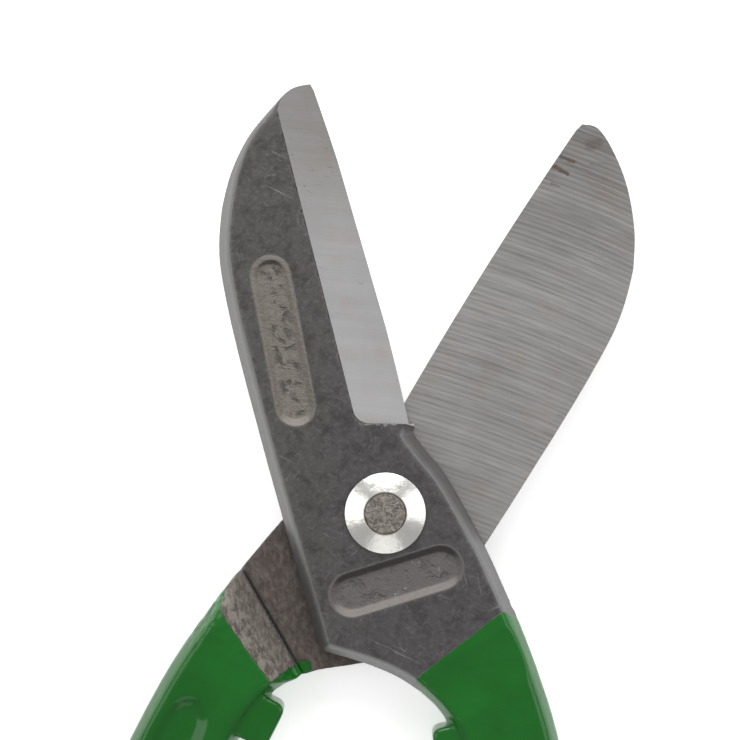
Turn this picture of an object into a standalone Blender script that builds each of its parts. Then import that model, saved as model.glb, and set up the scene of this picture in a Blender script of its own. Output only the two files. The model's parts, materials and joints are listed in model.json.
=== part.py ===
"""Straight-cut tinner's snips: two forged halves that turn on one riveted pivot.

Lengths are in millimetres and are turned into metres where a mesh is made.
Each half is drawn in its closed position, as the front half: jaw up along +Y, cutting edge on +X,
shear plane at z = 0 and body on +Z. The rear half is the same forging turned over about +Y.
The world origin is the pivot axis where the rivet's lower end stands on the table.
"""

import math

import bmesh
import bpy
from mathutils import Matrix, Vector

MM = 0.001

# Driving dimensions
FACE_Z = 6.0  # outer face of a head, above the shear plane
SHEAR_GAP = 0.15  # half of the gap between the two inner faces
EDGE_HEEL_Y = 17.4
EDGE_TIP_Y = 90.6
EDGE_LAND = 0.3  # height of the cutting edge's flat
TAPER_START_Y = 24.0  # past here the jaw gets thinner towards its tip
TAPER = 0.018
BORE_R = 4.3
RIVET_R = 4.0
RIVET_HEAD_R = 4.35
WASHER_R = 8.5
WASHER_HEIGHT = 2.0
SEAT_GAP = 0.3
RIVET_END_Z = FACE_Z + SEAT_GAP + WASHER_HEIGHT + 0.1

# The two forgings came out of their dies and off the grinder a little different
FRONT = {
    "open_deg": 10.0,
    "edge": {"heel_x": 8.2, "tip_x": 0.6, "bow": 1.15},
    "tip": [(0.1, 92.0), (-4.0, 91.4), (-8.9, 87.9), (-14.8, 82.8), (-19.6, 76.3), (-23.0, 69.2)],
    "spine_grow": 0.0,
    "bow_grow": 0.0,
    "shank_grow": 0.5,
    "handle_grow": 1.5,
    "lug_corner": (1.5, -46.8),
}
REAR = {
    "open_deg": -27.1,
    "edge": {"heel_x": 7.0, "tip_x": 0.7, "bow": 0.8},
    "tip": [(0.1, 92.3), (-3.4, 93.0), (-8.9, 89.8), (-14.8, 84.4), (-20.2, 77.0), (-23.6, 69.8)],
    "spine_grow": 0.5,
    "bow_grow": 0.9,
    "shank_grow": -0.7,
    "handle_grow": -0.4,
    "lug_corner": (-0.3, -46.05),
}

# Outline of the head, anticlockwise after the tip, as points that a smooth curve goes through
SPINE = [
    (-25.1, 60.6), (-25.5, 52.0), (-24.8, 38.0), (-23.3, 20.0), (-21.7, 3.0), (-20.5, -9.0),
    (-19.4, -19.0), (-18.9, -24.6),
]
HEEL_CORNER = [(-18.8, -25.4), (-18.0, -26.8), (-16.4, -27.7)]
BOW = [(-16.0, -27.9), (-11.4, -30.1), (-7.0, -32.6), (-3.0, -35.4), (0.3, -38.6), (1.5, -40.0)]
HEAD_END = [(5.0, -42.2), (14.5, -42.6), (24.6, -38.4)]
SHANK = [
    (24.5, -36.5), (23.4, -30.0), (21.7, -22.0), (19.4, -12.0), (16.8, -3.8), (13.7, 5.4),
    (10.4, 11.6), (8.5, 15.6),
]
EDGE_STEPS = 10  # straight pieces in the cutting edge

# Stretches, as distances behind the pivot, over which one half's own shifts fade in
SHANK_FADE = (-16.0, 4.0)
HANDLE_FADE = (12.0, 54.0)
BOW_FADE = (44.0, 56.0)
BOW_DIAGONAL = 0.7  # share of the bow's shift in x and in y

# How far each stretch of the head's wall leans in, at the four heights of HEAD_LEVELS
HEAD_LEVELS = [SHEAR_GAP, FACE_Z - 1.1, FACE_Z - 0.3, FACE_Z]
EDGE_LEAN = [0.0, 0.0, 0.0, 0.0]
WALL_LEAN = [0.0, 1.55, 2.05, 2.6]
BOW_LEAN = [0.0, 0.7, 1.2, 1.9]
END_LEAN = [0.0, 0.2, 2.6, 5.5]

# Handle: rungs from the shoulder to the end, as inner edge, outer edge, upper and lower face,
# and how deep the channel is in each face
HANDLE_RUNGS = [
    (1.2, -38.3, 21.6, -25.0, 4.8, 0.5, 0.0, 0.0),
    (1.9, -39.8, 22.2, -27.2, 4.9, -2.4, 0.0, 0.0),
    (2.7, -41.3, 22.9, -29.9, 5.0, -4.9, 0.0, 0.0),
    (3.8, -43.2, 23.9, -33.4, 5.3, -6.0, 0.3, 0.0),
    (4.8, -46.5, 24.9, -38.6, 6.0, -6.1, 0.9, 0.0),
    (5.7, -52.0, 25.9, -46.5, 6.1, -6.1, 1.2, 0.0),
    (6.1, -57.5, 26.4, -54.5, 6.2, -6.2, 1.6, 1.7),
    (6.5, -65.0, 26.6, -63.0, 6.2, -6.2, 2.0, 2.0),
    (7.2, -75.0, 26.5, -74.0, 6.3, -6.3, 2.0, 2.0),
    (8.4, -92.0, 25.8, -91.5, 6.4, -6.4, 2.0, 2.0),
    (9.2, -112.0, 24.8, -112.0, 6.6, -6.6, 2.0, 2.0),
    (9.8, -132.0, 24.1, -132.0, 6.8, -6.8, 2.0, 2.0),
    (10.2, -152.0, 23.9, -152.0, 7.1, -7.1, 2.0, 2.0),
    (10.8, -172.0, 24.4, -172.0, 7.7, -7.7, 1.6, 1.6),
    (11.8, -187.0, 25.3, -187.0, 8.2, -8.2, 0.0, 0.0),
    (12.9, -196.5, 25.4, -196.5, 8.2, -8.2, 0.0, 0.0),
    (15.0, -203.6, 23.8, -203.6, 6.4, -6.4, 0.0, 0.0),
    (17.8, -207.0, 21.2, -207.0, 3.0, -3.0, 0.0, 0.0),
]
RIM_WIDTH = 3.6
RIM_SHARE = 0.28  # at most, of the handle's width
CHANNEL_WALL = 1.7
WEB_SHARE = 0.46
SIDE_ROUND = [(0.0, 0.0), (0.3, 0.55), (1.0, 0.88), (2.1, 0.985)]  # how far in, and what share of the height
SIDE_SHARE = 0.2

# Stop lug on the inside of each handle
LUG_ROOT_X = 9.5
LUG_LENGTH = 10.3
LUG_HALF_Z = 4.2
LUG_ROUND = 1.8

# Pressed panels in the outer face: the two centres of a slot, its radius, its depth and its draft
PANELS = {
    "jaw_panel": {"from": (-15.1, 53.1), "to": (-14.6, 25.2), "radius": 3.7},
    "pivot_panel": {"from": (-9.9, -15.7), "to": (9.5, -13.3), "radius": 4.5},
}
PANEL_DEPTH = 1.2
PANEL_DRAFT = 0.8

# Ground bevel: rulings from its upper line on the outer face to its foot near the edge, from the
# wall at the heel, where the grinding wheel stopped, to past the tip
BEVEL_RULINGS = [
    ((-0.9, 19.3), (8.4, 17.2)), ((-2.1, 20.2), (8.3, 18.6)), ((-2.7, 21.5), (8.2, 20.2)),
    ((-2.95, 23.2), (8.0, 22.3)), ((-5.25, 54.0), (5.6, 53.3)), ((-8.2, 95.0), (0.0, 94.5)),
]

STEEL_DARK = {"colour": (0.095, 0.088, 0.087), "roughness": 0.45, "metallic": 0.85}
RIVET_STEEL = {"colour": (0.20, 0.175, 0.15), "roughness": 0.6, "metallic": 0.8}
NICKEL = {"colour": (0.80, 0.78, 0.74), "roughness": 0.18, "metallic": 1.0}


def clear_scene():
    for obj in list(bpy.data.objects):
        bpy.data.objects.remove(obj)


def make_material(name, look):
    material = bpy.data.materials.new(name)
    material.use_nodes = True
    shader = material.node_tree.nodes["Principled BSDF"]
    shader.inputs["Base Color"].default_value = (*look["colour"], 1.0)
    shader.inputs["Roughness"].default_value = look["roughness"]
    shader.inputs["Metallic"].default_value = look["metallic"]
    return material


def make_object(name, verts, faces, material=None):
    """A mesh object from points in millimetres."""
    mesh = bpy.data.meshes.new(name)
    mesh.from_pydata([Vector(v) * MM for v in verts], [], faces)
    shape = bmesh.new()
    shape.from_mesh(mesh)
    bmesh.ops.recalc_face_normals(shape, faces=shape.faces)
    shape.to_mesh(mesh)
    shape.free()
    if material:
        mesh.materials.append(material)
    obj = bpy.data.objects.new(name, mesh)
    bpy.context.scene.collection.objects.link(obj)
    return obj


def make_helper(obj):
    obj.hide_render = True
    obj.display_type = "WIRE"
    return obj


def loft(name, loops, material=None):
    """Closed solid through loops of equally many points, capped at both ends."""
    count = len(loops[0])
    verts = [point for loop in loops for point in loop]
    faces = [tuple(reversed(range(count))), tuple(range(len(verts) - count, len(verts)))]
    for level in range(len(loops) - 1):
        low, high = level * count, (level + 1) * count
        for i in range(count):
            j = (i + 1) % count
            faces.append((low + i, low + j, high + j, high + i))
    return make_object(name, verts, faces, material)


def curve_point(before, start, end, after, t):
    """The point at share t between start and end."""
    made = []
    for b, s, e, a in zip(before, start, end, after):
        square = (2 * b - 5 * s + 4 * e - a) * t**2
        cube = (3 * s - b - 3 * e + a) * t**3
        made.append(0.5 * (2 * s + (e - b) * t + square + cube))
    return tuple(made)


def smooth_curve(points, steps):
    """Catmull-Rom curve through points of any dimension, with steps pieces between each pair."""
    made = []
    for i in range(len(points) - 1):
        before = points[max(i - 1, 0)]
        start, end = points[i], points[i + 1]
        after = points[min(i + 2, len(points) - 1)]
        for k in range(steps):
            made.append(curve_point(before, start, end, after, k / steps))
    made.append(tuple(points[-1]))
    return made


def cutting_edge(edge, count):
    """The slightly bowed edge, from heel to tip."""
    made = []
    for k in range(count + 1):
        u = k / count
        x = edge["heel_x"] * (1 - u) + edge["tip_x"] * u + 4 * edge["bow"] * u * (1 - u)
        made.append((x, EDGE_HEEL_Y + u * (EDGE_TIP_Y - EDGE_HEEL_Y)))
    return made


def ramp(value, start, end):
    """0 before start and 1 past end."""
    return min(1.0, max(0.0, (value - start) / (end - start)))


def move_bow(points, form):
    """The bow of one half, moved out along its diagonal."""
    step = BOW_DIAGONAL * form["bow_grow"]
    return [(x - step, y - step) for x, y in points]


def shank_shift(form, y):
    """How far the outer side of one half's shank and handle stands out."""
    return form["shank_grow"] + (form["handle_grow"] - form["shank_grow"]) * ramp(-y, *HANDLE_FADE)


def move_shank(points, form):
    return [(x + shank_shift(form, y) * ramp(-y, *SHANK_FADE), y) for x, y in points]


def head_outline(form):
    """Points of the head's outline and, for each one, how its wall leans."""
    spine = [(x - form["spine_grow"], y) for x, y in SPINE[:-2]] + SPINE[-2:]
    stretches = [
        (cutting_edge(form["edge"], EDGE_STEPS), EDGE_LEAN),
        (smooth_curve(form["tip"] + spine, 2), WALL_LEAN),
        (HEEL_CORNER, WALL_LEAN),
        (smooth_curve([BOW[0]] + move_bow(BOW[1:], form), 2), BOW_LEAN),
        (move_bow(HEAD_END[:1], form) + HEAD_END[1:2] + move_shank(HEAD_END[2:], form), END_LEAN),
        (smooth_curve(move_shank(SHANK, form), 2), WALL_LEAN),
    ]
    points = [point for stretch, _ in stretches for point in stretch]
    leans = [lean for stretch, lean in stretches for _ in stretch]
    # the walls on either side of the edge lean less, so that its two ends stay sharp
    leans[EDGE_STEPS + 1] = [0.5 * lean for lean in WALL_LEAN]
    leans[-1] = [0.7 * lean for lean in WALL_LEAN]
    return points, leans


def inward_normals(points):
    """Unit vectors to the left of an anticlockwise outline's direction of travel."""
    made = []
    for i, point in enumerate(points):
        before, after = Vector(points[i - 1]), Vector(points[(i + 1) % len(points)])
        along = (Vector(point) - before).normalized() + (after - Vector(point)).normalized()
        along.normalize()
        made.append(Vector((-along.y, along.x)))
    return made


def jaw_top(y):
    """Height of the outer face, which falls towards the tip."""
    return FACE_Z - TAPER * max(0.0, y - TAPER_START_Y)


def taper_jaw(obj):
    """Split the head across the jaw's root and thin it from there to the tip."""
    shape = bmesh.new()
    shape.from_mesh(obj.data)
    everything = shape.verts[:] + shape.edges[:] + shape.faces[:]
    start = Vector((0.0, TAPER_START_Y, 0.0)) * MM
    bmesh.ops.bisect_plane(shape, geom=everything, plane_co=start, plane_no=(0, 1, 0), dist=1e-7)
    for vert in shape.verts:
        share = (vert.co.z / MM - SHEAR_GAP) / (FACE_Z - SHEAR_GAP)
        vert.co.z -= share * (FACE_Z - jaw_top(vert.co.y / MM)) * MM
    shape.to_mesh(obj.data)
    shape.free()


def make_head(form, material):
    """Jaw, pivot boss and shank in one plate with leaning walls."""
    points, leans = head_outline(form)
    normals = inward_normals(points)
    loops = []
    for level, z in enumerate(HEAD_LEVELS):
        loops.append([
            (p[0] + n.x * lean[level], p[1] + n.y * lean[level], z)
            for p, n, lean in zip(points, normals, leans)
        ])
    head = loft("head", loops, material)
    taper_jaw(head)
    return head


def handle_section(rung, form):
    """Rounded I-shaped loop across the handle, from its inner edge over the top and back below."""
    inner = Vector(rung[0:2])
    outer = Vector(rung[2:4])
    follow_bow = 1.0 - ramp(-inner.y, *BOW_FADE)
    inner.x += form["handle_grow"] * (1.0 - follow_bow) - BOW_DIAGONAL * form["bow_grow"] * follow_bow
    outer.x += shank_shift(form, outer.y)
    top, bottom, top_channel, bottom_channel = rung[4:8]
    width = (outer - inner).length
    across = (outer - inner) / width
    middle = max(0.0, 1.4 + 0.5 * bottom)  # raised off the shear plane only where the handle starts
    rim = min(RIM_WIDTH, RIM_SHARE * width)
    web = min(rim + CHANNEL_WALL, WEB_SHARE * width)
    squeeze = SIDE_SHARE * width / SIDE_ROUND[-1][0]
    side = [(min(a, squeeze * a + 0.01), k) for a, k in SIDE_ROUND]

    def half(face, channel):
        rise = face - middle
        depth = math.copysign(channel, rise)
        near = [(a, middle + rise * k) for a, k in side] + [(rim, face), (web, face - depth)]
        far = [(width - a, z) for a, z in reversed(near)]
        return near + far

    over = half(top, top_channel)
    under = half(bottom, bottom_channel)
    loop = over + list(reversed(under))[1:-1]
    return [(inner.x + across.x * a, inner.y + across.y * a, z) for a, z in loop]


def make_handle(form):
    return loft("handle", [handle_section(rung, form) for rung in smooth_curve(HANDLE_RUNGS, 2)])


def make_lug(form):
    """The stop lug, a block with rounded corners in plan."""
    face_x, top_y = form["lug_corner"]
    bottom_y = top_y - LUG_LENGTH
    plan = [(LUG_ROOT_X, top_y)]
    for y, start in ((top_y - LUG_ROUND, 90), (bottom_y + LUG_ROUND, 180)):
        for k in range(5):
            turn = math.radians(start + 22.5 * k)
            plan.append((face_x + LUG_ROUND * (1 + math.cos(turn)), y + LUG_ROUND * math.sin(turn)))
    plan.append((LUG_ROOT_X, bottom_y))
    return loft("lug", [[(x, y, z) for x, y in plan] for z in (-LUG_HALF_Z, LUG_HALF_Z)])


def make_bore(radius, height):
    turns = [2 * math.pi * k / 40 for k in range(40)]
    ring = [(radius * math.cos(a), radius * math.sin(a)) for a in turns]
    return loft("bore", [[(x, y, z) for x, y in ring] for z in (-height, height)])


def slot_ring(panel, radius, z):
    """A slot's outline: two half circles joined by straight sides."""
    start, end = Vector(panel["from"]), Vector(panel["to"])
    heading = math.atan2(end.y - start.y, end.x - start.x)
    ring = []
    for centre, first in ((end, heading - math.pi / 2), (start, heading + math.pi / 2)):
        for k in range(9):
            turn = first + math.pi * k / 8
            ring.append((centre.x + radius * math.cos(turn), centre.y + radius * math.sin(turn), z))
    return ring


def make_panel(name, panel):
    """Cutter of a pressed panel, whose walls lean out towards the face."""
    slope = PANEL_DRAFT / PANEL_DEPTH
    low = slot_ring(panel, panel["radius"] - PANEL_DRAFT, FACE_Z - PANEL_DEPTH)
    high = slot_ring(panel, panel["radius"] + slope, FACE_Z + 1.0)
    return loft(name, [low, high])


def make_bevel():
    """Cutter of the ground bevel: its lower face is ruled from the bevel's line to the edge."""
    sections = []
    for upper, foot in BEVEL_RULINGS:
        start = Vector((*upper, jaw_top(upper[1])))
        end = Vector((*foot, SHEAR_GAP + EDGE_LAND))
        back = start - 0.15 * (end - start)
        out = end + 0.3 * (end - start)
        sections.append([back, out, (out.x, out.y, 3 * FACE_Z), (back.x, back.y, 3 * FACE_Z)])
    return loft("bevel", sections)


def apply_boolean(target, tool, operation):
    modifier = target.modifiers.new(tool.name, "BOOLEAN")
    modifier.operation = operation
    modifier.solver = "EXACT"
    modifier.object = tool
    graph = bpy.context.evaluated_depsgraph_get()
    made = bpy.data.meshes.new_from_object(target.evaluated_get(graph))
    target.modifiers.clear()
    target.data = made
    bpy.data.objects.remove(tool)


def make_half(name, form, material, turned_over):
    """One forged half, placed on the pivot axis."""
    half = make_head(form, material)
    half.name = name
    handle = make_helper(make_handle(form))
    apply_boolean(handle, make_helper(make_lug(form)), "UNION")
    apply_boolean(half, handle, "UNION")
    apply_boolean(half, make_helper(make_bevel()), "DIFFERENCE")
    for panel_name, panel in PANELS.items():
        apply_boolean(half, make_helper(make_panel(panel_name, panel)), "DIFFERENCE")
    apply_boolean(half, make_helper(make_bore(BORE_R, 2 * FACE_Z)), "DIFFERENCE")
    if turned_over:
        half.data.transform(Matrix.Rotation(math.pi, 4, "Y"))
    half.data.shade_smooth()
    half.data.set_sharp_from_angle(angle=math.radians(20))
    half.location = (0.0, 0.0, RIVET_END_Z * MM)
    half.rotation_euler = (0.0, 0.0, math.radians(form["open_deg"]))
    return half


def turned(name, profile, material, closed):
    """A turned piece: the profile of (radius, z) is spun about the pivot axis."""
    steps = 48
    loops = []
    for k in range(steps):
        angle = 2 * math.pi * k / steps
        loops.append([(r * math.cos(angle), r * math.sin(angle), z) for r, z in profile])
    verts = [point for loop in loops for point in loop]
    count = len(profile)
    faces = []
    for k in range(steps):
        here, there = k * count, (k + 1) % steps * count
        for i in range(count if closed else count - 1):
            j = (i + 1) % count
            faces.append((here + i, there + i, there + j, here + j))
    if not closed:
        faces.append(tuple(k * count for k in range(steps)))
        faces.append(tuple(k * count + count - 1 for k in range(steps)))
    piece = make_object(name, verts, faces, material)
    piece.data.shade_smooth()
    piece.data.set_sharp_from_angle(angle=math.radians(25))
    piece.location = (0.0, 0.0, RIVET_END_Z * MM)
    return piece


def make_rivet(material):
    """Pivot rivet: a plain shank whose two ends are peened out into the washers."""
    end = RIVET_END_Z
    upper = [
        (RIVET_R, end - 1.8), (RIVET_HEAD_R, end - 0.8), (RIVET_HEAD_R, end - 0.2),
        (RIVET_HEAD_R - 0.25, end),
    ]
    lower = [(r, -z) for r, z in reversed(upper)]
    return turned("pivot_rivet", lower + upper, material, closed=False)


def make_washer(name, material, side):
    """Bevelled washer, turned, with a coned face and a countersunk hole for the rivet's end."""
    seat = FACE_Z + SEAT_GAP
    top = seat + WASHER_HEIGHT
    hole = BORE_R
    mouth = RIVET_HEAD_R + 0.35
    profile = [
        (hole, seat), (WASHER_R - 0.15, seat), (WASHER_R, seat + 0.15), (WASHER_R, seat + 0.4),
        (WASHER_R - 0.2, seat + 0.55), (mouth + 0.2, top), (mouth, top - 0.05), (mouth, top - 0.75),
        (hole, top - 1.7),
    ]
    return turned(name, [(r, side * z) for r, z in profile], material, closed=True)


def main():
    clear_scene()
    steel = make_material("forged_steel", STEEL_DARK)
    nickel = make_material("nickel_plate", NICKEL)
    rivet_steel = make_material("rivet_steel", RIVET_STEEL)
    make_half("front_half", FRONT, steel, turned_over=False)
    make_half("rear_half", REAR, steel, turned_over=True)
    make_rivet(rivet_steel)
    make_washer("front_bevel_washer", nickel, side=1)
    make_washer("rear_bevel_washer", nickel, side=-1)


main()
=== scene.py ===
import json
import math
import random

import bmesh
import bpy
from mathutils import Matrix, Vector

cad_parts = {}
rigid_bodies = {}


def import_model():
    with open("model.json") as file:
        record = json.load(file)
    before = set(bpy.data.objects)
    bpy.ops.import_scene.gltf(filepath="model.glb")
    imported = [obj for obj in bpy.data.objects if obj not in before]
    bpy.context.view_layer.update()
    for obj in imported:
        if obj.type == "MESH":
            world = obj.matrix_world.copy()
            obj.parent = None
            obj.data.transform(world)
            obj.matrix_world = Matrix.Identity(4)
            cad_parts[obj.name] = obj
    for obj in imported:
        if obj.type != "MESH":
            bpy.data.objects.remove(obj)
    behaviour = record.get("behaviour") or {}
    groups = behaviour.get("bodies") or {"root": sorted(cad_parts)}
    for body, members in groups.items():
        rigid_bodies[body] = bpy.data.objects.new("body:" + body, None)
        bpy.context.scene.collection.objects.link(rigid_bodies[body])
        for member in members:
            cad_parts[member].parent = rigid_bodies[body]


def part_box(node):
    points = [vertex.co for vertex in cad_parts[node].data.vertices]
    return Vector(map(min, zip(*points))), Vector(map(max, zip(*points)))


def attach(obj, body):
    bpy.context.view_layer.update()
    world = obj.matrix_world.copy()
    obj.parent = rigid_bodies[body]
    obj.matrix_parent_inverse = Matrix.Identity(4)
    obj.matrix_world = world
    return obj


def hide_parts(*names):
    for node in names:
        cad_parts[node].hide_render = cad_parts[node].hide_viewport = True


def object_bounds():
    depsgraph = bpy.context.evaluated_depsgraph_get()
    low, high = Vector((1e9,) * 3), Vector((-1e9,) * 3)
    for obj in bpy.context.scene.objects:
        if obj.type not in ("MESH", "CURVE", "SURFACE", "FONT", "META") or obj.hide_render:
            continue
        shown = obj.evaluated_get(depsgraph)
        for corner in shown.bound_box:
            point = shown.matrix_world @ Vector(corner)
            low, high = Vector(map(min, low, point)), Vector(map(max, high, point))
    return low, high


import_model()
cadLow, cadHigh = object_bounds()
for leftover in ("Cube", "Light", "Camera"):  # what an empty Blender starts with
    if leftover in bpy.data.objects:
        bpy.data.objects.remove(bpy.data.objects[leftover])

# Straight-cut tinner's snips. Lengths are written in millimetres and times mm are Blender's metres.
# A half is drawn closed, jaw along +Y, body on +Z of the shear plane, then turned to where it stands open.
mm = 0.001
rivetLow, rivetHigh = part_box("pivot_rivet")
shearZ = (rivetLow.z + rivetHigh.z) / 2  # the shear plane is halfway up the rivet

print("frame loaded, shear plane at", round(shearZ / mm, 2), "mm")


def deselectAll():
    if bpy.context.object and bpy.context.object.mode == "EDIT":
        bpy.ops.object.mode_set(mode="OBJECT")
    bpy.ops.object.select_all(action="DESELECT")


def makeActive(obj):
    deselectAll()
    obj.select_set(True)
    bpy.context.view_layer.objects.active = obj


def selectWhere(obj, kind, test):  # kind is verts, edges or faces, and test gets each one
    bpy.ops.mesh.select_all(action="DESELECT")
    bpy.ops.mesh.select_mode(type={"verts": "VERT", "edges": "EDGE", "faces": "FACE"}[kind])
    shape = bmesh.from_edit_mesh(obj.data)
    for part in getattr(shape, kind):
        if test(part):
            part.select_set(True)
    bmesh.update_edit_mesh(obj.data)


def curvePoint(p, q, r, s, t):  # one coordinate, a share t of the way from q to r
    square = (2 * p - 5 * q + 4 * r - s) * t**2
    cube = (3 * q - p - 3 * r + s) * t**3
    return 0.5 * (2 * q + (r - p) * t + square + cube)


def smoothCurve(points, steps):  # rounds a line of points off
    made = []
    for i in range(len(points) - 1):
        a, b, c, d = points[max(i - 1, 0)], points[i], points[i + 1], points[min(i + 2, len(points) - 1)]
        for k in range(steps):
            made.append(tuple(curvePoint(p, q, r, s, k / steps) for p, q, r, s in zip(a, b, c, d)))
    return made + [tuple(points[-1])]


def tracePlate(name, outline, z, rise, steps):
    # traces the outline by extruding one vertex, fills it, lifts it by rise and insets it step by step,
    # each step being (how far in, how far on); a negative rise builds downwards
    deselectAll()
    start = Vector((*outline[0], z)) * mm
    bpy.ops.mesh.primitive_plane_add(size=mm, location=start)
    plate = bpy.context.object
    plate.name = name
    bpy.ops.object.transform_apply(location=True)
    bpy.ops.object.mode_set(mode="EDIT")
    bpy.ops.mesh.select_mode(type="VERT")
    bpy.ops.mesh.select_all(action="SELECT")
    bpy.ops.mesh.merge(type="CENTER")
    for before, point in zip(outline, outline[1:]):
        step = (Vector(point) - Vector(before)) * mm
        bpy.ops.mesh.extrude_region_move(TRANSFORM_OT_translate={"value": (step.x, step.y, 0)})
    bpy.ops.mesh.select_all(action="SELECT")
    bpy.ops.mesh.edge_face_add()
    shape = bmesh.from_edit_mesh(plate.data)
    shape.faces.ensure_lookup_table()
    shape.normal_update()
    if shape.faces[0].normal.z * rise < 0:
        bpy.ops.mesh.flip_normals()
    bpy.ops.mesh.extrude_region_move(TRANSFORM_OT_translate={"value": (0, 0, rise * mm)})
    for inward, onward in steps:
        bpy.ops.mesh.inset(thickness=abs(inward) * mm, depth=onward * mm, use_outset=inward < 0)
    bpy.ops.mesh.select_all(action="SELECT")
    bpy.ops.mesh.normals_make_consistent(inside=False)
    bpy.ops.object.mode_set(mode="OBJECT")
    return plate


def applyModifier(obj, kind, **settings):
    makeActive(obj)
    change = obj.modifiers.new(kind.title(), kind)
    for key, value in settings.items():
        setattr(change, key, value)
    bpy.ops.object.modifier_apply(modifier=change.name)


def cutAway(obj, tool):  # the tool is used up
    applyModifier(obj, "BOOLEAN", operation="DIFFERENCE", solver="MANIFOLD", object=tool)
    bpy.data.objects.remove(tool)


forging = {
    "spine": [(-25.1, 60.6), (-25.5, 52.0), (-24.8, 38.0), (-23.3, 20.0), (-21.7, 3.0), (-20.5, -9.0),
              (-19.4, -19.0), (-18.9, -24.6)],  # the jaw's back, down to the heel
    "heelCorner": [(-18.8, -25.4), (-18.0, -26.8), (-16.4, -27.7)],
    "bow": [(-16.0, -27.9), (-11.4, -30.1), (-7.0, -32.6), (-3.0, -35.4), (0.4, -38.7), (3.2, -42.2),
            (4.7, -45.4)],
    "inside": [(5.3, -48.5), (5.8, -52.0), (6.1, -57.5), (6.5, -65.0), (7.2, -75.0), (8.4, -92.0),
               (9.2, -112.0), (9.8, -132.0), (10.2, -152.0), (10.8, -172.0), (11.8, -187.0),
               (12.9, -196.5), (15.0, -203.6), (17.8, -206.8)],
    "outside": [(21.2, -206.8), (23.8, -203.6), (25.4, -196.5), (25.3, -187.0), (24.4, -172.0),
                (23.9, -152.0), (24.1, -132.0), (24.8, -112.0), (25.8, -91.5), (26.5, -74.0),
                (26.6, -63.0), (26.4, -54.5), (25.9, -46.5), (24.6, -37.0)],
    "shank": [(24.5, -36.5), (23.4, -30.0), (21.7, -22.0), (19.4, -12.0), (16.8, -3.8), (13.7, 5.4),
              (10.4, 11.6), (8.6, 15.4)],
    "flash": [(9.8, 17.4), (9.6, 30.0), (8.2, 50.0), (6.2, 70.0), (4.2, 84.0), (2.6, 91.0)],
    "tipFlash": [1.6, 1.7, 1.7, 1.5, 0.9, 0.0],  # flash and stock are left for the grinder
    "stock": 0.75,            # on the inner face
    "gap": 0.15,              # inner face to shear plane
    "face": 6.0,              # outer face to shear plane
    "upright": 1.2,           # height of the wall before it drafts in
    "draft": [(1.5, 4.35), (0.55, 0.85), (0.7, 0.55)],  # how far in, how far on
    "under": 0.6,             # where the handle's lower part starts, above the shear plane
    "underFrom": (-36.5, -24.0),  # it is past these, on the inside and on the outside
    "shoulder": ((1.2, -38.3), (21.6, -25.0)),
    "shoulderSlope": 1.03,
    "swell": [(-186, 1.32, 75), (-204, 0.55, 12)],  # past this y, times so thick, blended over this
    "taperFrom": 24.0,
    "taperDeg": 1.03,
    "lugRoot": 11.0,
    "lugLength": 10.3,
    "lugHeight": 8.4,
    "lugRound": 1.8,
    "valley": ((23.1, -33.5), (4.7, -40.8)),
    "valleyRadius": 24.0,
    "valleyDepth": 0.8,
    "panelDepth": 1.3,
    "panelDraft": 1.5,
    "panelRim": 0.9,          # a panel's mouth past its radius
    "boreRadius": 4.3,
    "grain": 0.36,            # finest detail that the dies leave
    "lumps": (9.0, 3, 0.07),  # size, detail and depth of what shows in the paint and the faces
    "scale": (1.7, 2, 0.4),   # the same for the torn tang
    "triangles": 150000,
}
panels = {
    "jawPanel": {"from": (-15.1, 53.1), "to": (-14.6, 25.2), "radius": 3.0, "shade": 0.0},
    "pivotPanel": {"from": (-9.9, -15.7), "to": (9.5, -13.3), "radius": 3.6, "shade": 0.75},
}
channels = {
    "outer": [(13.9, -62.0), (12.9, -67.0), (12.4, -75.0), (12.4, -112.0), (13.0, -152.0), (14.6, -176.0),
              (18.0, -181.5), (21.2, -176.0), (20.6, -152.0), (21.4, -112.0), (22.6, -75.0), (22.4, -65.0),
              (20.6, -60.0), (16.8, -59.2)],
    "inner": [(13.2, -55.5), (12.3, -61.0), (12.0, -75.0), (12.2, -112.0), (12.8, -152.0), (14.6, -176.0),
              (18.0, -181.5), (21.4, -176.0), (20.8, -152.0), (21.6, -112.0), (22.9, -75.0), (23.3, -60.0),
              (21.4, -53.6), (17.0, -51.6)],
    "floor": 4.5,
    "walls": [(0.7, 0.25), (1.0, 0.75), (1.1, 0.45)],  # how far in, how far down
    "swellDeg": 0.55,
    "hinge": -60.0,
}
grinding = {
    "bevel": ((-2.95, 23.2, 6.0), (-8.2, 95.0, 4.72), (8.1, 22.4, 0.45)),  # heel, tip and foot of its plane
    "heelRadius": 2.4,
    "heelBack": 3.6,          # the wheel's reach past the heel
    "heelDeg": 16.7,
    "edge": (17.3, 90.6),     # y of the cutting edge's two ends
    "edgeTop": 99.0,
    "tangFrom": -9.0,
    "tangDepth": 0.5,
    "crease": 0.6,
}
frontForging = {
    "openDeg": 10.0, "turnedOver": False,
    "tip": [(0.1, 92.0), (-4.0, 91.4), (-8.9, 87.9), (-14.8, 82.8), (-19.6, 76.3), (-23.0, 69.2)],
    "edge": {"heelX": 8.2, "tipX": 0.6, "bow": 1.15},
    "spineGrow": 0.0, "bowGrow": 0.0, "shankGrow": 0.5, "handleGrow": 1.5,  # how far each stands out
    "lugCorner": (1.5, -46.8),
}
rearForging = {
    "openDeg": -27.1, "turnedOver": True,
    "tip": [(0.1, 92.3), (-3.4, 93.0), (-8.9, 89.8), (-14.8, 84.4), (-20.2, 77.0), (-23.6, 69.8)],
    "edge": {"heelX": 7.0, "tipX": 0.7, "bow": 0.8},
    "spineGrow": 0.5, "bowGrow": 0.9, "shankGrow": -0.7, "handleGrow": -0.4,
    "lugCorner": (-0.3, -46.05),
}


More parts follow.
